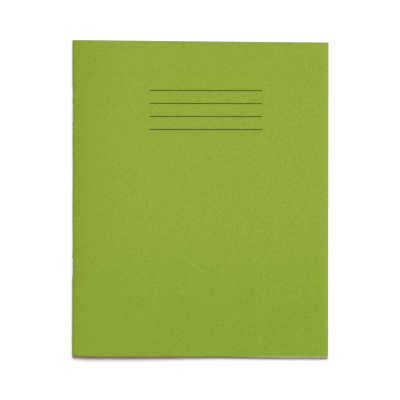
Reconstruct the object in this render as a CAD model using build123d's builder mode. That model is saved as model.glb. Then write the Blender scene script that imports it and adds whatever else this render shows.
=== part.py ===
"""Saddle-stapled exercise book: a manila card cover, folded writing sheets and two wire staples.

The closed book lies flat on its back cover. Millimetres, +Z up, +X from the spine to the fore
edge, +Y from the tail to the head, with the origin under the middle of the book.

Each sheet is folded once, so it has a front leaf, a fold at the spine and a back leaf. The folds
are nested round one straight line, the fold axis, and the clinched staple ends lie along it.
"""

import os

from build123d import *

# Trimmed size of the closed book
book_width = 165.1
book_height = 203.2

# Paper and card
sheet_count = 12
sheet_caliper = 0.10
leaf_gap = 0.05
card_caliper = 0.30
fold_arm = 0.60

# Staples
wire_diameter = 0.50
wire_clearance = 0.03
gutter_clearance = 0.08
wire_bend = 0.45
staple_crown = 12.7
staple_clinch = 5.2
crown_sink = 0.15
head_staple_drop = 46.3
tail_staple_rise = 57.2

# Heights above and below the fold axis
gutter_half = wire_diameter / 2 + gutter_clearance
leaf_pitch = sheet_caliper + leaf_gap
card_inner = gutter_half + sheet_count * leaf_pitch
card_outer = card_inner + card_caliper

# Places along X: the crowns stand proud of the spine, and the box around everything is centred
crown_reach = card_outer + wire_diameter / 2 - crown_sink
crown_proud = wire_diameter - crown_sink
spine_x = (crown_proud - book_width) / 2
fore_edge_x = spine_x + book_width
axis_x = spine_x + card_outer
axis_z = card_outer
leaf_start_x = axis_x + fold_arm

head_y = book_height / 2
tail_y = -book_height / 2
staple_places = {
    "staple_head": head_y - head_staple_drop,
    "staple_tail": tail_y + tail_staple_rise,
}


def sheet_inner(number):
    """Distance from the fold axis to the inner face of a sheet, number 1 being the outermost."""
    return gutter_half + (sheet_count - number) * leaf_pitch


def bent_wire(middle_y, diameter):
    """A staple's wire, or the room for it: clinched end, leg, crown, leg and clinched end."""
    low_y = middle_y - staple_crown / 2
    high_y = middle_y + staple_crown / 2
    crown_x = axis_x - crown_reach
    with BuildPart() as wire:
        with BuildLine(Plane.XY.offset(axis_z)) as path:
            FilletPolyline(
                (axis_x, low_y + staple_clinch),
                (axis_x, low_y),
                (crown_x, low_y),
                (crown_x, high_y),
                (axis_x, high_y),
                (axis_x, high_y - staple_clinch),
                radius=wire_bend,
            )
        with BuildSketch(Plane(origin=path.line @ 0, z_dir=path.line % 0)):
            Circle(diameter / 2)
        sweep()
    return wire.part


def flat_leaf(bottom_z, caliper):
    """A flat leaf or cover panel, from the end of its fold to the fore edge."""
    with BuildPart() as leaf:
        with BuildSketch(Plane.XY.offset(bottom_z)):
            with Locations((leaf_start_x, 0)):
                Rectangle(
                    fore_edge_x - leaf_start_x,
                    book_height,
                    align=(Align.MIN, Align.CENTER),
                )
        extrude(amount=caliper)
    return leaf.part


def rounded_fold(inner, caliper, wire_rooms):
    """The bend of a folded sheet or card: a half ring with two short arms, pierced by the staples."""
    outer = inner + caliper
    with BuildPart() as fold:
        with BuildSketch(Plane(origin=(axis_x, 0, axis_z), x_dir=(1, 0, 0), z_dir=(0, -1, 0))):
            with BuildLine():
                Polyline((0, inner), (fold_arm, inner), (fold_arm, outer), (0, outer))
                ThreePointArc((0, outer), (-outer, 0), (0, -outer))
                Polyline((0, -outer), (fold_arm, -outer), (fold_arm, -inner), (0, -inner))
                ThreePointArc((0, -inner), (-inner, 0), (0, inner))
            make_face()
        extrude(amount=book_height / 2, both=True)
        for room in wire_rooms:
            add(room, mode=Mode.SUBTRACT)
    return fold.part


def save(piece, name):
    """Label a finished piece and write it to its own file."""
    piece.label = name
    export_step(piece, f"parts/{name}.step")


os.makedirs("parts", exist_ok=True)

# Staples, and the room that each one takes through the folds
staple_rooms = []
for staple_name, staple_y in staple_places.items():
    staple_rooms.append(bent_wire(staple_y, wire_diameter + 2 * wire_clearance))
    save(bent_wire(staple_y, wire_diameter), staple_name)

# Cover: one piece of card, scored and folded at the spine
save(flat_leaf(axis_z - card_outer, card_caliper), "back_cover")
save(rounded_fold(card_inner, card_caliper, staple_rooms), "cover_fold")
save(flat_leaf(axis_z + card_inner, card_caliper), "front_cover")

# Writing sheets, from the outermost to the centre spread
for number in range(1, sheet_count + 1):
    inner = sheet_inner(number)
    save(flat_leaf(axis_z - inner - sheet_caliper, sheet_caliper), f"sheet_{number:02d}_back_leaf")
    save(rounded_fold(inner, sheet_caliper, staple_rooms), f"sheet_{number:02d}_fold")
    save(flat_leaf(axis_z + inner, sheet_caliper), f"sheet_{number:02d}_front_leaf")
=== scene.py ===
"""Dresses the stapled exercise book: a manila card cover, ruled writing sheets and two wire staples.

Metres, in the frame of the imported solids: +X from the spine to the fore edge, +Y from the tail to
the head, +Z up from the table. The closed book is thickest near its springy folds, its leaves lie
tighter together towards the fore edge, and its staples draw the spine in.
"""

import logging
import math
from dataclasses import dataclass, field
from enum import Enum

import bmesh
import bpy
from mathutils import Matrix, Vector

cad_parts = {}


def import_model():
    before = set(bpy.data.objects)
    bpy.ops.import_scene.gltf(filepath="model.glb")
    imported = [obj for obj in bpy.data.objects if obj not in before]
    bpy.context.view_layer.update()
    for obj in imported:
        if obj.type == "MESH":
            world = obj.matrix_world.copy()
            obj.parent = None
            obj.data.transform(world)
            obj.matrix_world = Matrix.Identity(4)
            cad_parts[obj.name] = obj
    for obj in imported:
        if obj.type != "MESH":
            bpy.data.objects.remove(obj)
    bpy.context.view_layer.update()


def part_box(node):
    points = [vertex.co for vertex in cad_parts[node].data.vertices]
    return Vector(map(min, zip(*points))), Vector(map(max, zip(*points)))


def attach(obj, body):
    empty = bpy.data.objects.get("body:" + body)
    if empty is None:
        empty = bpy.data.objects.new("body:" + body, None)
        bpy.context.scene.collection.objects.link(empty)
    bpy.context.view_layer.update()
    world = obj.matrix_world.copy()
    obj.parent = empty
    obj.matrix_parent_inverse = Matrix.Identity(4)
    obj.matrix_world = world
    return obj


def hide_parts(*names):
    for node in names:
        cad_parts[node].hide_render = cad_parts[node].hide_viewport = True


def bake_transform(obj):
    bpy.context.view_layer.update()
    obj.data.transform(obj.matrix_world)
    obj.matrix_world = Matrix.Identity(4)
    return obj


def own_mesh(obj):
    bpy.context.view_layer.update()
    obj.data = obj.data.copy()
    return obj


log = logging.getLogger("exercise_book")

Span = tuple[float, float]
Grid = tuple[int, int]
Colour = tuple[float, float, float, float]

MM = 0.001
WHITE: Colour = (1.0, 1.0, 1.0, 1.0)
REST_PLACE = "rest_place"
NOISE_ROUGHNESS = 0.55
# The power by which a plate's columns crowd towards the fold
COLUMN_EASE = 1.5
MERGE_DISTANCE = 1e-7
SHARP_ANGLE = math.radians(35)
# How much of its normal lies along an axis where a face counts as facing that way
FACING = 0.7


class Half(Enum):
    """The two halves of a folded sheet."""

    FRONT = "front"
    BACK = "back"


class Skin(Enum):
    """The material slots of a card panel or leaf."""

    OUTSIDE = 0
    INSIDE = 1
    CUT_EDGE = 2


def smooth(value: float, low: float, high: float) -> float:
    """Rises smoothly from 0 at low to 1 at high.

    Args:
        value: The place to read.
        low: Where the rise starts.
        high: Where the rise ends.

    Returns:
        A share from 0 to 1.
    """
    share = min(max((value - low) / (high - low), 0.0), 1.0)
    return share * share * (3.0 - 2.0 * share)


class Tone:
    """A value that varies over a surface, with arithmetic that adds Math nodes."""

    def __init__(self, paint: "Paint", socket: bpy.types.NodeSocket) -> None:
        """Keeps the node tree and the output socket."""
        self.paint = paint
        self.socket = socket

    def maths(self, operation: str, other: "Tone | float" = 0.0, swapped: bool = False) -> "Tone":
        """Adds one Math node.

        Args:
            operation: The Math node's operation.
            other: The second value.
            swapped: Whether the other value comes first.

        Returns:
            The node's result.
        """
        first, second = (other, self) if swapped else (self, other)
        return self.paint.node("ShaderNodeMath", {"operation": operation}, {0: first, 1: second})

    def __add__(self, other: "Tone | float") -> "Tone":
        """Sum."""
        return self.maths("ADD", other)

    def __radd__(self, other: float) -> "Tone":
        """Sum, with the number first."""
        return self.maths("ADD", other, swapped=True)

    def __sub__(self, other: "Tone | float") -> "Tone":
        """Difference."""
        return self.maths("SUBTRACT", other)

    def __rsub__(self, other: float) -> "Tone":
        """Difference, with the number first."""
        return self.maths("SUBTRACT", other, swapped=True)

    def __mul__(self, other: "Tone | float") -> "Tone":
        """Product."""
        return self.maths("MULTIPLY", other)

    def __rmul__(self, other: float) -> "Tone":
        """Product, with the number first."""
        return self.maths("MULTIPLY", other, swapped=True)

    def __truediv__(self, other: "Tone | float") -> "Tone":
        """Quotient."""
        return self.maths("DIVIDE", other)

    def __abs__(self) -> "Tone":
        """Size without sign."""
        return self.maths("ABSOLUTE")

    def rise(self, low: float, high: float) -> "Tone":
        """A smooth mask, which may also run downwards.

        Args:
            low: The value at which the mask is still 0.
            high: The value at which it has reached 1, above or below low.

        Returns:
            The mask.
        """
        ends = {0: self, 1: min(low, high), 2: max(low, high), 3: 0.0, 4: 1.0}
        if high < low:
            ends.update({3: 1.0, 4: 0.0})
        return self.paint.node("ShaderNodeMapRange", {"interpolation_type": "SMOOTHSTEP"}, ends)


@dataclass(frozen=True)
class Layer:
    """Where a layer of colour shows, by a value that varies over the surface, and how strongly."""

    low: float
    high: float
    share: float = 1.0

    def mask(self, value: Tone) -> Tone:
        """The layer's strength: none where the value is low, its whole share where it is high."""
        return value.rise(self.low, self.high) * self.share


class Paint:
    """The node tree of one material, or of the world."""

    def __init__(self, owner: "bpy.types.Material | bpy.types.World") -> None:
        """Starts an empty node tree.

        Args:
            owner: The material or world that the tree belongs to.
        """
        owner.use_nodes = True
        self.owner = owner
        self.tree = owner.node_tree
        self.tree.nodes.clear()

    def node(
        self, kind: str, settings: dict | None = None, inputs: dict | None = None, output: int | str = 0
    ) -> Tone:
        """Adds one node.

        Args:
            kind: The node's type.
            settings: The node's own settings, set first.
            inputs: Values or links for its sockets, by number or name.
            output: The socket to return.

        Returns:
            The chosen output, or nothing to link where the node has no output.
        """
        made = self.tree.nodes.new(kind)
        for name, value in (settings or {}).items():
            setattr(made, name, value)
        for name, value in (inputs or {}).items():
            if isinstance(value, Tone):
                self.tree.links.new(value.socket, made.inputs[name])
            else:
                made.inputs[name].default_value = value
        return Tone(self, made.outputs[output] if made.outputs else None)

    def mix(self, share: "Tone | float", first: "Tone | Colour", second: "Tone | Colour") -> Tone:
        """Mixes two colours by a share."""
        return self.node("ShaderNodeMix", {"data_type": "RGBA"}, {0: share, 6: first, 7: second}, 2)

    def rest_place(self) -> Tone:
        """Where each point lies on the closed book, so that a pattern follows a bent sheet."""
        return self.node("ShaderNodeAttribute", {"attribute_name": REST_PLACE}, output="Vector")

    def axis(self, place: Tone, letter: str) -> Tone:
        """One coordinate of a place."""
        return self.node("ShaderNodeSeparateXYZ", inputs={0: place}, output=letter)

    def grain(
        self, place: Tone, size: float, stretch: tuple = (1.0, 1.0, 1.0), detail: float = 2.0
    ) -> Tone:
        """Soft noise.

        Args:
            place: The coordinates to read.
            size: The length of its features, in metres.
            stretch: How many times shorter the features are along each axis.
            detail: How many finer layers it has.

        Returns:
            A value around 0.5.
        """
        spot = self.node("ShaderNodeMapping", inputs={"Vector": place, "Scale": stretch})
        settings = {"Vector": spot, "Scale": 1.0 / size, "Detail": detail, "Roughness": NOISE_ROUGHNESS}
        return self.node("ShaderNodeTexNoise", inputs=settings)

    def rows(self, drop: Tone, pitch: float, count: int, weight: float, bleed: float) -> Tone:
        """Level lines, one below the other.

        Args:
            drop: How far each place lies below the first line.
            pitch: How far apart the lines are.
            count: How many lines there are.
            weight: How thick a line is.
            bleed: How wide its soft edges are.

        Returns:
            A mask, 1 on the lines.
        """
        off = abs((drop / pitch + 0.5).maths("FRACT") - 0.5) * pitch
        line = off.rise((weight + bleed) / 2, (weight - bleed) / 2)
        band = drop.maths("GREATER_THAN", -0.5 * pitch)
        band = band * drop.maths("LESS_THAN", (count - 0.5) * pitch)
        return line * band

    def surface(self, constants: dict, colour: Tone, roughness: Tone, relief: Tone, depth: float) -> None:
        """Closes the material with a Principled surface.

        Args:
            constants: Values that are the same all over.
            colour: The varying colour.
            roughness: The varying roughness.
            relief: Height of the fine relief, from 0 to 1.
            depth: The relief's depth in metres.
        """
        bump = self.node("ShaderNodeBump", inputs={"Strength": 1.0, "Distance": depth, "Height": relief})
        links = {"Base Color": colour, "Roughness": roughness, "Normal": bump}
        shader = self.node("ShaderNodeBsdfPrincipled", inputs={**constants, **links})
        self.node("ShaderNodeOutputMaterial", inputs={"Surface": shader})


@dataclass(frozen=True)
class PrintedRules:
    """The four plain lines printed on the front of the cover."""

    start_x: float
    end_x: float
    first_y: float
    pitch: float = 8.376 * MM
    count: int = 4
    weight: float = 0.56 * MM
    bleed: float = 0.06 * MM

    def mask(self, paint: Paint, place: Tone) -> Tone:
        """Where the ink lies.

        Args:
            paint: The material to add nodes to.
            place: The coordinates on the cover.

        Returns:
            A mask, 1 on the ink.
        """
        x = paint.axis(place, "X")
        drop = self.first_y - paint.axis(place, "Y")
        along = x.rise(self.start_x - self.bleed, self.start_x + self.bleed)
        along = along * x.rise(self.end_x + self.bleed, self.end_x - self.bleed)
        return along * paint.rows(drop, self.pitch, self.count, self.weight, self.bleed)


@dataclass(frozen=True)
class RubMark:
    """A faint pale stroke where something has rubbed the card."""

    start: Span
    end: Span
    strength: Span
    width: float = 0.75 * MM

    def mask(self, paint: Paint, place: Tone) -> Tone:
        """Where the stroke lies, with a strength that changes from its start to its end.

        Args:
            paint: The material to add nodes to.
            place: The coordinates on the cover.

        Returns:
            A mask from 0 to the greater strength.
        """
        run = Vector(self.end) - Vector(self.start)
        ahead, length = run.normalized(), run.length
        x = paint.axis(place, "X") - self.start[0]
        y = paint.axis(place, "Y") - self.start[1]
        along = x * ahead.x + y * ahead.y
        off = abs(y * ahead.x - x * ahead.y)
        past_start = along.rise(-self.width, self.width)
        before_end = along.rise(length + self.width, length - self.width)
        grown = self.strength[0] + along.rise(0.0, length) * (self.strength[1] - self.strength[0])
        return past_start * before_end * off.rise(self.width, 0.0) * grown


@dataclass(frozen=True)
class ManilaCard:
    """Uncoated yellow-green card: mottled pulp, dark flecks, and painted shade towards the spine, the head
    and the tail.
    """

    tint: Colour = (0.2738, 0.3870, 0.0354, 1.0)
    # Painted shade: the darker tone near the spine and the head, where the light falls off from the middle
    # of the cover
    painted_shade: Colour = (0.2370, 0.3394, 0.0223, 1.0)
    # Painted shade: the darker tone towards the tail, where the light falls off
    tail: Colour = (0.2379, 0.3574, 0.0222, 1.0)
    # Painted shade beside the rounded fold, where the card turns away from the light
    spine: Colour = (0.2180, 0.3090, 0.0120, 1.0)
    fleck: Colour = (0.1801, 0.2702, 0.0142, 1.0)
    pale: Colour = (0.3271, 0.4313, 0.0664, 1.0)
    # Painted shade: the brownish dark along the fold's outer edge
    fold: Colour = (0.2180, 0.2370, 0.0161, 1.0)
    rub: Colour = (0.3792, 0.4740, 0.1232, 1.0)
    ink: Colour = (0.0152, 0.0209, 0.0066, 1.0)
    cloud_size: float = 34 * MM
    mottle_size: float = 3.4 * MM
    speck_size: float = 0.62 * MM
    fleck_size: float = 1.1 * MM
    fleck_stretch: tuple = (1.3, 0.7, 1.0)
    fibre_size: float = 1.4 * MM
    fibre_stretch: float = 5.0
    # Painted shade towards the spine, the head and the tail
    shade_by_spine: Layer = Layer(42 * MM, -6 * MM)
    shade_by_head: Layer = Layer(40 * MM, 92 * MM, 0.30)
    shade_by_tail: Layer = Layer(6 * MM, -88 * MM)
    # Painted shade within 12 mm of the fold, faded out over its last few millimetres
    shade_near_fold: Layer = Layer(12 * MM, 0.0, 0.75)
    off_fold: Layer = Layer(0.4 * MM, 2.6 * MM)
    clouds: Layer = Layer(0.30, 0.75, 0.10)
    mottling: Layer = Layer(0.36, 0.66, 0.09)
    dark_specks: Layer = Layer(0.34, 0.66, 0.37)
    pale_specks: Layer = Layer(0.56, 0.26, 0.37)
    dark_flecks: Layer = Layer(0.61, 0.70, 0.60)
    pale_fibres: Layer = Layer(0.30, 0.42, 0.30)
    # Paler towards the fore edge
    paler_by_fore_edge: Layer = Layer(5.6 * MM, 0.0, 0.30)
    # Painted shade along the fold's outer edge
    fold_edge_shade: Layer = Layer(1.1 * MM, 0.1 * MM, 0.45)
    ink_gaps: Layer = Layer(0.55, 0.85, 0.25)
    roughness: float = 0.80
    roughness_swing: float = 0.12
    fibre_relief: float = 0.6
    speck_relief: float = 0.4
    relief_depth: float = 0.012 * MM
    specular: float = 0.15

    def paint(
        self, name: str, shape: "BookShape", rules: PrintedRules | None = None, rubs: tuple = ()
    ) -> bpy.types.Material:
        """Makes the material.

        Args:
            name: The material's name.
            shape: The book, for the places of its edges.
            rules: The printed lines, on the outside of the front.
            rubs: The faint rub marks on the same face.

        Returns:
            The finished material.
        """
        paint = Paint(bpy.data.materials.new(name))
        place = paint.rest_place()
        x, y = paint.axis(place, "X"), paint.axis(place, "Y")
        from_spine, to_fore = x - shape.spine_x, shape.fore_x - x
        cloudy = paint.grain(place, self.cloud_size, detail=3.0)
        mottle = paint.grain(place, self.mottle_size)
        speck = paint.grain(place, self.speck_size, detail=1.0)
        flecks = paint.grain(place, self.fleck_size, self.fleck_stretch, detail=1.0)
        along = paint.grain(place, self.fibre_size, (1.0, self.fibre_stretch, 1.0))
        across = paint.grain(place, self.fibre_size, (self.fibre_stretch, 1.0, 1.0))
        fibres = along * across
        # Painted shade: darker towards the spine, the head and the tail
        painted_shade_share = self.shade_by_spine.mask(from_spine) + self.shade_by_head.mask(y)
        # Painted shade beside the fold
        fold_shade_share = self.shade_near_fold.mask(from_spine) * self.off_fold.mask(from_spine)
        # Painted shade: mixed darker towards the spine, the head and the tail
        colour = paint.mix(painted_shade_share.maths("MINIMUM", 1.0), self.tint, self.painted_shade)
        colour = paint.mix(self.shade_by_tail.mask(y), colour, self.tail)
        # Painted shade beside the fold
        colour = paint.mix(fold_shade_share, colour, self.spine)
        for layer, value, over in (
            (self.clouds, cloudy, self.pale),
            (self.mottling, mottle, self.fleck),
            (self.dark_specks, speck, self.fleck),
            (self.pale_specks, speck, self.pale),
            (self.dark_flecks, flecks, self.fleck),
            (self.pale_fibres, fibres, self.pale),
            # paler towards the fore edge
            (self.paler_by_fore_edge, to_fore, self.pale),
            # painted shade along the fold's outer edge
            (self.fold_edge_shade, from_spine, self.fold),
        ):
            colour = paint.mix(layer.mask(value), colour, over)
        for rub in rubs:
            colour = paint.mix(rub.mask(paint, place), colour, self.rub)
        if rules:
            ink = rules.mask(paint, place) * (1.0 - self.ink_gaps.mask(speck))
            colour = paint.mix(ink, colour, self.ink)
        roughness = self.roughness + (mottle - 0.5) * self.roughness_swing
        relief = fibres * self.fibre_relief + speck * self.speck_relief
        constants = {"Specular IOR Level": self.specular}
        paint.surface(constants, colour, roughness, relief, self.relief_depth)
        return paint.owner


@dataclass(frozen=True)
class RuledPaper:
    """White writing paper with wide grey feint lines and no margin."""

    sheet: Colour = (0.7963, 0.7916, 0.7631, 1.0)
    shade: Colour = (0.7394, 0.7300, 0.6968, 1.0)
    feint: Colour = (0.4076, 0.4313, 0.4645, 1.0)
    # Painted shade: the cut edges are darker and warmer than the face of the sheet
    cut: Colour = (0.6636, 0.6304, 0.6067, 1.0)
    pitch: float = 15.0 * MM
    head_space: float = 22.0 * MM
    weight: float = 0.36 * MM
    bleed: float = 0.0864 * MM
    ink_least: float = 0.62
    ink_swing: float = 0.35
    pulp_size: float = 3.2 * MM
    tooth_size: float = 0.35 * MM
    shading: Layer = Layer(0.35, 0.75, 0.30)
    roughness: float = 0.86
    roughness_swing: float = 0.10
    relief_depth: float = 0.006 * MM
    specular: float = 0.20

    def paint(self, name: str, shape: "BookShape", ruled: bool = True) -> bpy.types.Material:
        """Makes the material.

        Args:
            name: The material's name.
            shape: The book, for the places of its edges.
            ruled: Whether the feint lines show, which they don't on a cut edge.

        Returns:
            The finished material.
        """
        paint = Paint(bpy.data.materials.new(name))
        place = paint.rest_place()
        pulp = paint.grain(place, self.pulp_size, detail=3.0)
        tooth = paint.grain(place, self.tooth_size, detail=1.0)
        colour = paint.mix(self.shading.mask(pulp), self.sheet if ruled else self.cut, self.shade)
        if ruled:
            first_y = shape.head_y - self.head_space
            drop = first_y - paint.axis(place, "Y")
            count = math.floor((first_y - shape.tail_y) / self.pitch)
            lines = paint.rows(drop, self.pitch, count, self.weight, self.bleed)
            colour = paint.mix(lines * (self.ink_least + tooth * self.ink_swing), colour, self.feint)
        roughness = self.roughness + (pulp - 0.5) * self.roughness_swing
        constants = {"Specular IOR Level": self.specular}
        paint.surface(constants, colour, roughness, tooth, self.relief_depth)
        return paint.owner


@dataclass(frozen=True)
class StapleWire:
    """Bright galvanised wire, with faint lines from drawing and duller zinc spangle."""

    bright: Colour = (0.760, 0.750, 0.750, 1.0)
    dull: Colour = (0.500, 0.495, 0.500, 1.0)
    spangle_size: float = 0.9 * MM
    dulling: Layer = Layer(0.35, 0.70, 0.6)
    drawn_size: float = 0.12 * MM
    drawn_stretch: tuple = (1.0, 0.06, 1.0)
    roughness: float = 0.30
    roughness_swing: float = 0.18
    relief_depth: float = 0.004 * MM

    def paint(self, name: str) -> bpy.types.Material:
        """Makes the material.

        Args:
            name: The material's name.

        Returns:
            The finished material.
        """
        paint = Paint(bpy.data.materials.new(name))
        place = paint.rest_place()
        spangle = paint.grain(place, self.spangle_size)
        drawn = paint.grain(place, self.drawn_size, self.drawn_stretch, detail=1.0)
        colour = paint.mix(self.dulling.mask(spangle), self.bright, self.dull)
        roughness = self.roughness + spangle * self.roughness_swing
        paint.surface({"Metallic": 1.0}, colour, roughness, drawn, self.relief_depth)
        return paint.owner


@dataclass
class BookShape:
    """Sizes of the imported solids, and how the real book departs from flat and square.

    A span of lengths says where a change starts and ends: across the book from the spine, or along
    the spine from the tail or the middle of a crown. The tail's skew counts half widths of the book
    from its middle. Pairs for the staples come with the one near the head first.
    """

    card_low: float = field(init=False)
    cover_low: float = field(init=False)
    spine_x: float = field(init=False)
    axis_x: float = field(init=False)
    axis_z: float = field(init=False)
    fore_x: float = field(init=False)
    head_y: float = field(init=False)
    tail_y: float = field(init=False)
    crowns: Span = field(init=False)
    gutter_ends: Span = (3.2 * MM, 16 * MM)
    loft_ends: Span = (34 * MM, 98 * MM)
    cover_drop: float = 1.40 * MM
    air_swing: float = 0.9
    air_turn: float = 2.4
    head_skew: float = 0.62 * MM
    tail_skew: float = 0.14 * MM
    tail_skew_ends: Span = (-0.8, 0.2)
    leaf_stray: float = 0.47 * MM
    stray_ends: Span = (70 * MM, 140 * MM)
    corner_wear: float = 0.50 * MM
    corner_across: Span = (2.4 * MM, 12 * MM)
    corner_along: Span = (0.0, 12 * MM)
    spine_tuck: float = 0.27 * MM
    tuck_past_head: Span = (13 * MM, 20 * MM)
    tuck_near_tail: Span = (-6.5 * MM, -3 * MM)
    tuck_past_tail: Span = (-52 * MM, -11 * MM)
    tail_shares: Span = (0.6, 0.4)
    tuck_ripple: float = 0.06 * MM
    ripple_length: float = 46 * MM
    ripple_phase: float = 0.75
    crown_tucks: Span = (0.37 * MM, 0.50 * MM)
    crown_ends: Span = (4.4 * MM, 6.2 * MM)
    pucker: float = 0.24 * MM
    pucker_rise: float = 7.0 * MM
    pucker_ends: Span = (0.6 * MM, 2.6 * MM)

    def __post_init__(self) -> None:
        """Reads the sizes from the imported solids."""
        back, front, fold = (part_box(name) for name in ("back_cover", "front_cover", "cover_fold"))
        self.card_low = back[1][2]
        self.spine_x = fold[0][0]
        self.axis_z = (back[0][2] + front[1][2]) / 2
        self.axis_x = self.spine_x + self.axis_z
        self.fore_x, self.cover_low = front[1][0], front[0][2]
        self.tail_y, self.head_y = front[0][1], front[1][1]
        wires = (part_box(name) for name in ("staple_head", "staple_tail"))
        self.crowns = tuple((low[1] + high[1]) / 2 for low, high in wires)

    def settle(self, x: float, drops: Span) -> float:
        """How far a leaf has sunk at x.

        Args:
            x: The place across the book.
            drops: How far it sinks as the gutter closes beside the fold, and then towards the fore edge.

        Returns:
            The drop at x, in metres.
        """
        along = x - self.spine_x
        return drops[0] * smooth(along, *self.gutter_ends) + drops[1] * smooth(along, *self.loft_ends)

    def stacked(self, order: int, leaves: int, caliper: float, sunk: float) -> float:
        """Height of a leaf's underside where the leaves share what air there is between the cover panels.

        Args:
            order: The leaf's place in the stack, 0 being the lowest.
            leaves: How many leaves there are.
            caliper: The thickness of one leaf.
            sunk: How far the front panel has sunk there.

        Returns:
            The height in metres.
        """
        room = self.cover_low - sunk - self.card_low - leaves * caliper
        airs = [1.0 + self.air_swing * math.sin(self.air_turn * place) for place in range(leaves + 1)]
        return self.card_low + order * caliper + room * sum(airs[: order + 1]) / sum(airs)

    def trim(self, x: float, y: float) -> float:
        """How far head and tail run out of square, with the worn corner at the tail of the spine.

        Args:
            x: The place across the book.
            y: The place along the spine.

        Returns:
            The shift towards the head, in metres.
        """
        across = (x - (self.spine_x + self.fore_x) / 2) / ((self.fore_x - self.spine_x) / 2)
        rise = (y - self.tail_y) / (self.head_y - self.tail_y)
        skew = -self.head_skew * across * rise
        skew += self.tail_skew * (1.0 - smooth(across, *self.tail_skew_ends)) * (1.0 - rise)
        near_spine = 1.0 - smooth(x - self.spine_x, *self.corner_across)
        near_tail = 1.0 - smooth(y - self.tail_y, *self.corner_along)
        return skew + self.corner_wear * near_spine * near_tail

    def stray(self, x: float) -> float:
        """How far the leaves have shifted past the cover at the tail, at x."""
        return self.leaf_stray * smooth(x - self.spine_x, *self.stray_ends)

    def tuck(self, y: float) -> float:
        """How far the staples draw the spine in, most under their crowns, with a pucker beside each.

        Args:
            y: The place along the spine.

        Returns:
            The depth in metres.
        """
        head, tail = self.crowns
        near, past = self.tail_shares
        drawn = near * smooth(y - tail, *self.tuck_near_tail)
        drawn += past * smooth(y - tail, *self.tuck_past_tail)
        drawn *= 1.0 - smooth(y - head, *self.tuck_past_head)
        ripple = math.cos(2.0 * math.pi * (y - head) / self.ripple_length - self.ripple_phase)
        depth = drawn * (self.spine_tuck + self.tuck_ripple * ripple)
        for middle, pressed in zip(self.crowns, self.crown_tucks):
            under = 1.0 - smooth(abs(y - middle), *self.crown_ends)
            depth += max(pressed - depth, 0.0) * under
            beside = abs(y - middle - self.pucker_rise)
            depth -= self.pucker * (1.0 - smooth(beside, *self.pucker_ends))
        return depth


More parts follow.
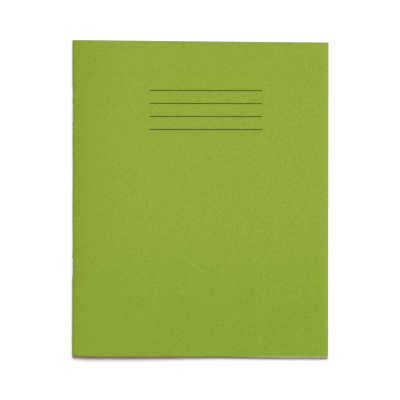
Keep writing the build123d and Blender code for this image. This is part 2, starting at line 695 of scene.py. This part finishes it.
class PieceMaker:
    """Turns a bmesh into a named piece of the book."""

    def __init__(self, shape: BookShape) -> None:
        """Keeps the book's shape."""
        self.shape = shape

    def plate(
        self, node: str, arm: float, drops: Span, grid: Grid, loose: bool = False
    ) -> bmesh.types.BMesh:
        """A leaf or card panel as a gently curved plate.

        Args:
            node: Its flat solid.
            arm: How far from the fold axis it begins.
            drops: How far it sinks beside the fold, and then towards the fore edge.
            grid: Divisions across, closer together near the fold, and along the spine.
            loose: Whether it has shifted past the cover at the tail.

        Returns:
            The closed mesh.
        """
        shape = self.shape
        low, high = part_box(node)
        start_x = shape.axis_x + arm
        width, length = high[0] - start_x, high[1] - low[1]
        bm = bmesh.new()
        bmesh.ops.create_grid(bm, x_segments=grid[0], y_segments=grid[1], size=0.5)
        for vert in bm.verts:
            x = start_x + width * (vert.co.x + 0.5) ** COLUMN_EASE
            y = low[1] + length * (vert.co.y + 0.5)
            shift = shape.trim(x, y) - (shape.stray(x) if loose else 0.0)
            vert.co = (x, y + shift, low[2] - shape.settle(x, drops))
        grown = bmesh.ops.extrude_face_region(bm, geom=bm.faces[:], use_keep_orig=True)
        top = [part for part in grown["geom"] if isinstance(part, bmesh.types.BMVert)]
        bmesh.ops.translate(bm, verts=top, vec=(0.0, 0.0, high[2] - low[2]))
        bmesh.ops.recalc_face_normals(bm, faces=bm.faces[:])
        return bm

    def round_fold(
        self, inner: float, caliper: float, back_arm: float, front_arm: float, steps: int, rows: int
    ) -> bmesh.types.BMesh:
        """The bend of a folded sheet: a back arm, half a turn round the fold axis, and a front arm.

        Args:
            inner: The radius inside the bend.
            caliper: The thickness of the paper or card.
            back_arm: How far it reaches past the fold axis at the back.
            front_arm: How far it reaches past the fold axis at the front.
            steps: Divisions of the half turn.
            rows: Divisions along the spine.

        Returns:
            The closed mesh, drawn in by the staples.
        """
        shape = self.shape
        bm = bmesh.new()
        start_x, start_z = shape.axis_x + back_arm, shape.axis_z - inner
        ends = [bm.verts.new((start_x, y, start_z)) for y in (shape.tail_y, shape.head_y)]
        edge = bm.edges.new(ends)
        bmesh.ops.subdivide_edges(bm, edges=[edge], cuts=rows - 1)
        line = self.push(bm, bm.edges[:], (-back_arm, 0.0, 0.0))
        line = self.turn(bm, line, (shape.axis_x, 0.0, shape.axis_z), (0.0, 1.0, 0.0), math.pi, steps)
        self.push(bm, line, (front_arm, 0.0, 0.0))
        bmesh.ops.remove_doubles(bm, verts=bm.verts[:], dist=MERGE_DISTANCE)
        grown = bmesh.ops.extrude_face_region(bm, geom=bm.faces[:], use_keep_orig=True)
        for part in grown["geom"]:
            if isinstance(part, bmesh.types.BMVert):
                part.co += self.away(part.co) * caliper
        bmesh.ops.recalc_face_normals(bm, faces=bm.faces[:])
        for vert in bm.verts:
            vert.co.x += max(shape.axis_x - vert.co.x, 0.0) / shape.axis_z * shape.tuck(vert.co.y)
            vert.co.y += shape.trim(vert.co.x, vert.co.y)
        return bm

    def away(self, place: Vector) -> Vector:
        """The direction out of a fold at a place: round the axis, or straight up or down on its arms."""
        across = min(place.x - self.shape.axis_x, 0.0)
        return Vector((across, 0.0, place.z - self.shape.axis_z)).normalized()

    @staticmethod
    def push(bm: bmesh.types.BMesh, edges: list, step: tuple) -> list:
        """Extrudes edges by a step.

        Args:
            bm: The mesh.
            edges: The edges to extrude.
            step: How far they go.

        Returns:
            The new edges.
        """
        grown = bmesh.ops.extrude_edge_only(bm, edges=edges)["geom"]
        fresh = [part for part in grown if isinstance(part, bmesh.types.BMVert)]
        bmesh.ops.translate(bm, verts=fresh, vec=step)
        return [part for part in grown if isinstance(part, bmesh.types.BMEdge)]

    @staticmethod
    def turn(
        bm: bmesh.types.BMesh, edges: list, centre: tuple, axis: tuple, angle: float, steps: int
    ) -> list:
        """Spins edges round a bend.

        Args:
            bm: The mesh.
            edges: The edges to spin.
            centre: The middle of the bend.
            axis: The axis of the bend.
            angle: How far they turn, in radians.
            steps: Divisions of the bend.

        Returns:
            The last edges.
        """
        spun = bmesh.ops.spin(bm, geom=edges, cent=centre, axis=axis, angle=angle, steps=steps)
        return [part for part in spun["geom_last"] if isinstance(part, bmesh.types.BMEdge)]

    @staticmethod
    def piece(name: str, bm: bmesh.types.BMesh, skins: list, slot: str) -> bpy.types.Object:
        """Makes the object and keeps where each point lies on the closed book.

        Args:
            name: The piece's name.
            bm: Its mesh, which is used up.
            skins: Its materials, in the order of Skin.
            slot: The record's material slot; not used.

        Returns:
            The new object.
        """
        for face in bm.faces:
            face.smooth = True
        mesh = bpy.data.meshes.new(name)
        bm.to_mesh(mesh)
        bm.free()
        mesh.set_sharp_from_angle(angle=SHARP_ANGLE)
        places = mesh.attributes.new(REST_PLACE, "FLOAT_VECTOR", "POINT")
        for vert in mesh.vertices:
            places.data[vert.index].vector = vert.co
        for skin in skins:
            mesh.materials.append(skin)
        made = bpy.data.objects.new(name, mesh)
        bpy.context.scene.collection.objects.link(made)
        log.info("%s: %d faces", name, len(mesh.polygons))
        return made

    @staticmethod
    def mark_plate(bm: bmesh.types.BMesh, upper: Skin, lower: Skin) -> None:
        """Gives a plate's upper side, lower side and edges their slots.

        Args:
            bm: The plate.
            upper: The slot of its upper side.
            lower: The slot of its lower side.
        """
        for face in bm.faces:
            if face.normal.z > FACING:
                face.material_index = upper.value
            elif face.normal.z < -FACING:
                face.material_index = lower.value
            else:
                face.material_index = Skin.CUT_EDGE.value

    @staticmethod
    def mark_ends(bm: bmesh.types.BMesh) -> None:
        """Gives a fold's cut ends at the head and tail their slot.

        Args:
            bm: The fold.
        """
        for face in bm.faces:
            if abs(face.normal.y) > FACING:
                face.material_index = Skin.CUT_EDGE.value


@dataclass
class Cover:
    """The card cover: a front panel, a back panel and the rounded spine between them."""

    maker: PieceMaker
    card: ManilaCard = field(default_factory=ManilaCard)
    rules_start: float = 49.72 * MM
    rules_end: float = 122.40 * MM
    rules_drop: float = 31.82 * MM
    rubs: tuple[RubMark, RubMark] = (
        RubMark((-15.8 * MM, -33.6 * MM), (0.8 * MM, -46.6 * MM), (0.14, 0.36)),
        RubMark((0.8 * MM, -46.6 * MM), (6.0 * MM, -47.4 * MM), (0.36, 0.16)),
    )
    front_grid: Grid = (72, 36)
    back_grid: Grid = (40, 24)
    fold_steps: int = 18
    fold_rows: int = 160
    flat_inset: float = 0.20 * MM

    def dress(self) -> None:
        """Builds the three pieces and fixes them to the book."""
        shape = self.maker.shape
        rules = PrintedRules(
            shape.spine_x + self.rules_start, shape.spine_x + self.rules_end, shape.head_y - self.rules_drop
        )
        printed = self.card.paint("manila_printed", shape, rules, self.rubs)
        plain = self.card.paint("manila_plain", shape)
        self.front(printed, plain)
        self.back(plain)
        self.spine(plain)

    def front(self, printed: bpy.types.Material, plain: bpy.types.Material) -> None:
        """The front panel, which starts beside the crease that it turns on, clear of the staples.

        Args:
            printed: The finish of its outside.
            plain: The finish of its inside and its edges.
        """
        shape = self.maker.shape
        drops = (0.0, shape.cover_drop)
        bm = self.maker.plate("front_cover", shape.card_low, drops, self.front_grid)
        self.maker.mark_plate(bm, Skin.OUTSIDE, Skin.INSIDE)
        panel = self.maker.piece("front_cover_card", bm, [printed, plain, plain], "cover_card")
        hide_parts("front_cover")
        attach(panel, "front_cover")

    def back(self, plain: bpy.types.Material) -> None:
        """The back panel, flat on the table.

        Args:
            plain: Its finish.
        """
        bm = self.maker.plate("back_cover", self.maker.shape.axis_z, (0.0, 0.0), self.back_grid)
        self.maker.mark_plate(bm, Skin.INSIDE, Skin.OUTSIDE)
        panel = self.maker.piece("back_cover_card", bm, [plain, plain, plain], "cover_card")
        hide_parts("back_cover")
        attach(panel, "back_cover")

    def spine(self, plain: bpy.types.Material) -> None:
        """The rounded spine between the panels.

        Args:
            plain: Its finish.
        """
        shape = self.maker.shape
        caliper = shape.card_low
        inner, back_arm = shape.axis_z - caliper, shape.axis_z
        bm = self.maker.round_fold(inner, caliper, back_arm, caliper, self.fold_steps, self.fold_rows)
        piece = self.maker.piece("cover_spine", bm, [plain], "cover_card")
        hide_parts("cover_fold")
        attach(piece, "spine")
        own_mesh(piece)


@dataclass
class Sheets:
    """The folded writing sheets, sheet 1 next to the cover and the last one at the centre spread."""

    maker: PieceMaker
    paper: RuledPaper = field(default_factory=RuledPaper)
    count: int = 12
    leaf_grid: Grid = (44, 10)
    fold_steps: int = 12
    fold_rows: int = 160

    def dress(self) -> None:
        """Builds every leaf and fold, and fixes each leaf and every fold but the last to its body."""
        ruled = self.paper.paint("ruled_paper", self.maker.shape)
        cut = self.paper.paint("cut_paper", self.maker.shape, ruled=False)
        for number in range(1, self.count + 1):
            for half in Half:
                self.leaf(number, half, [ruled, ruled, cut])
            self.fold(number, [ruled, ruled, cut])

    def leaf(self, number: int, half: Half, skins: list) -> None:
        """One leaf, from the end of its fold to the fore edge.

        Args:
            number: Its sheet.
            half: Which half of the sheet it is.
            skins: Its finishes, in the order of Skin.
        """
        shape = self.maker.shape
        node = f"sheet_{number:02d}_{half.value}_leaf"
        inner, caliper = self.bend(number)
        leaves = 2 * self.count
        order = number - 1 if half is Half.BACK else leaves - number
        spread = shape.stacked(order, leaves, caliper, 0.0)
        pressed = shape.stacked(order, leaves, caliper, shape.cover_drop)
        drops = (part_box(node)[0][2] - spread, spread - pressed)
        bm = self.maker.plate(node, inner + caliper, drops, self.leaf_grid, loose=True)
        self.maker.mark_plate(bm, Skin.OUTSIDE, Skin.INSIDE)
        leaf = self.maker.piece(f"ruled_{number:02d}_{half.value}", bm, skins, "page_paper")
        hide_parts(node)
        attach(leaf, f"{half.value}_leaf_{number:02d}")

    def fold(self, number: int, skins: list) -> None:
        """One fold, with arms as long as the outer radius of its bend, so that it meets its leaves.

        Args:
            number: Its sheet.
            skins: Its finishes, in the order of Skin.
        """
        shape = self.maker.shape
        inner, caliper = self.bend(number)
        outer = inner + caliper
        bm = self.maker.round_fold(inner, caliper, outer, outer, self.fold_steps, self.fold_rows)
        self.maker.mark_ends(bm)
        piece = self.maker.piece(f"fold_{number:02d}", bm, skins, "page_paper")
        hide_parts(f"sheet_{number:02d}_fold")
        if number == self.count:
            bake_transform(piece)
            return
        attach(piece, "spine")
        shape.axis_x - outer
        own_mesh(piece)

    def bend(self, number: int) -> Span:
        """The radius inside a sheet's fold, and the sheet's thickness."""
        low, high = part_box(f"sheet_{number:02d}_front_leaf")
        return low[2] - self.maker.shape.axis_z, high[2] - low[2]


@dataclass
class Staples:
    """The two wire staples, each pressed into the spine and clinched inside the centre fold."""

    maker: PieceMaker
    wire: StapleWire = field(default_factory=StapleWire)
    sinks: Span = (0.28 * MM, 0.42 * MM)
    bend: float = 0.45 * MM
    bend_steps: int = 8
    clinch: float = 5.2 * MM
    tip_round: float = 0.07 * MM
    tip_steps: int = 2
    sides: int = 16

    def dress(self) -> None:
        """Builds both wires and fixes them to the spine."""
        finish = self.wire.paint("galvanised_wire")
        for end, sink in zip(("head", "tail"), self.sinks):
            node = f"staple_{end}"
            bm = self.bent_wire(*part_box(node), sink)
            piece = self.maker.piece(f"wire_{end}", bm, [finish], "staple_wire")
            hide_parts(node)
            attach(piece, "spine")

    def bent_wire(self, low: Vector, high: Vector, sink: float) -> bmesh.types.BMesh:
        """One wire: clinched end, leg, crown, leg and clinched end.

        Args:
            low: The lowest corner of the staple's solid.
            high: The highest corner of the staple's solid.
            sink: How far its crown is pressed into the spine.

        Returns:
            The closed mesh.
        """
        radius = (high[2] - low[2]) / 2
        crown_x, end_x = low[0] + radius + sink, high[0] - radius
        low_y, high_y, middle_z = low[1] + radius, high[1] - radius, low[2] + radius
        near, far = self.bend + crown_x, end_x - self.bend
        first, last = low_y + self.bend, high_y - self.bend
        bm = bmesh.new()
        upright = Matrix.Rotation(math.pi / 2, 3, "X")
        bmesh.ops.create_circle(bm, segments=self.sides, radius=radius)
        bmesh.ops.rotate(bm, verts=bm.verts[:], cent=(0.0, 0.0, 0.0), matrix=upright)
        bmesh.ops.translate(bm, verts=bm.verts[:], vec=(end_x, low_y + self.clinch, middle_z))
        end = (0.0, self.bend - self.clinch, 0.0)
        route = (
            (end, (far, first)),
            ((near - far, 0.0, 0.0), (near, first)),
            ((0.0, last - first, 0.0), (near, last)),
            ((far - near, 0.0, 0.0), (far, last)),
        )
        axis, quarter = (0.0, 0.0, 1.0), -math.pi / 2
        loop = bm.edges[:]
        for step, centre in route:
            loop = self.maker.push(bm, loop, step)
            loop = self.maker.turn(bm, loop, (*centre, middle_z), axis, quarter, self.bend_steps)
        self.maker.push(bm, loop, end)
        bmesh.ops.remove_doubles(bm, verts=bm.verts[:], dist=MERGE_DISTANCE)
        caps = bmesh.ops.holes_fill(bm, edges=bm.edges[:], sides=0)["faces"]
        rims = [edge for cap in caps for edge in cap.edges]
        bmesh.ops.bevel(
            bm,
            geom=rims,
            offset=self.tip_round,
            affect="EDGES",
            segments=self.tip_steps,
            profile=0.5,
            material=-1,
        )
        bmesh.ops.recalc_face_normals(bm, faces=bm.faces[:])
        return bm


@dataclass
class Studio:
    """A white table, one large soft lamp beyond the head and warmer soft light all round."""

    picture: int = 400
    lens: float = 200.0
    sensor: float = 36.0
    clip: Span = (0.05, 20.0)
    scale: float = 0.6443 * MM
    top_z: float = 4.3 * MM
    centre: Span = (-0.040 * MM, -0.77 * MM)
    roll: float = 0.08
    lamp_elevation: float = 59.0
    lamp_swing: float = 11.0
    lamp_distance: float = 8.0
    lamp_size: float = 4.0
    lamp_power: float = 718.0
    lamp_tint: tuple[float, float, float] = (0.906, 1.0, 1.0)
    dome: float = 0.248
    dome_tint: Colour = (1.0, 0.65, 0.65, 1.0)
    table_tint: Colour = (0.985, 0.950, 0.950, 1.0)
    table_size: float = 6.0
    table_grid: Grid = (4, 4)

    def set_up(self) -> None:
        """Makes the table, the lights and the camera."""
        bpy.context.scene.view_settings.view_transform = "Standard"
        self.table()
        self.lamp()
        self.sky()
        self.camera()

    def table(self) -> None:
        """A plain white table top under the book."""
        bm = bmesh.new()
        columns, rows = self.table_grid
        bmesh.ops.create_grid(bm, x_segments=columns, y_segments=rows, size=self.table_size / 2)
        mesh = bpy.data.meshes.new("table_top")
        bm.to_mesh(mesh)
        bm.free()
        paint = Paint(bpy.data.materials.new("white_table"))
        shader = paint.node("ShaderNodeBsdfDiffuse", inputs={"Color": self.table_tint})
        paint.node("ShaderNodeOutputMaterial", inputs={"Surface": shader})
        mesh.materials.append(paint.owner)
        top = bpy.data.objects.new("table_top", mesh)
        bpy.context.scene.collection.objects.link(top)

    def lamp(self) -> None:
        """The soft lamp, beyond the head and a little to the right."""
        lamp = bpy.data.lights.new("soft_lamp", "AREA")
        lamp.shape = "DISK"
        lamp.size = self.lamp_size
        lamp.energy = self.lamp_power
        lamp.color = self.lamp_tint
        made = bpy.data.objects.new("soft_lamp", lamp)
        bpy.context.scene.collection.objects.link(made)
        rise, swing = math.radians(self.lamp_elevation), math.radians(self.lamp_swing)
        flat = math.cos(rise)
        away = Vector((math.sin(swing) * flat, math.cos(swing) * flat, math.sin(rise)))
        made.location = away * self.lamp_distance
        made.rotation_euler = (-away).to_track_quat("-Z", "Y").to_euler()

    def sky(self) -> None:
        """Soft light from all round, which the camera and the shiny wire see as white."""
        world = bpy.data.worlds.new("studio")
        bpy.context.scene.world = world
        paint = Paint(world)
        camera = paint.node("ShaderNodeLightPath", output="Is Camera Ray")
        glossy = paint.node("ShaderNodeLightPath", output="Is Glossy Ray")
        through = paint.node("ShaderNodeLightPath", output="Is Transmission Ray")
        seen = (camera + glossy + through).maths("MINIMUM", 1.0)
        light = paint.node("ShaderNodeBackground", inputs={"Color": self.dome_tint, "Strength": self.dome})
        white = paint.node("ShaderNodeBackground", inputs={"Color": WHITE, "Strength": 1.0})
        both = paint.node("ShaderNodeMixShader", inputs={0: seen, 1: light, 2: white})
        paint.node("ShaderNodeOutputWorld", inputs={"Surface": both})

    def camera(self) -> None:
        """The camera, straight above the book."""
        data = bpy.data.cameras.new("camera")
        data.lens = self.lens
        data.sensor_width = self.sensor
        data.clip_start, data.clip_end = self.clip
        made = bpy.data.objects.new("camera", data)
        bpy.context.scene.collection.objects.link(made)
        distance = self.picture * self.scale * self.lens / self.sensor
        made.location = (*self.centre, self.top_z + distance)
        made.rotation_euler = (0.0, 0.0, math.radians(self.roll))
        bpy.context.scene.camera = made


def main() -> None:
    """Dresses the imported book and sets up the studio."""
    logging.basicConfig(level=logging.INFO)
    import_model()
    maker = PieceMaker(BookShape())
    Cover(maker).dress()
    Sheets(maker).dress()
    Staples(maker).dress()
    Studio().set_up()


if __name__ == "__main__":
    main()
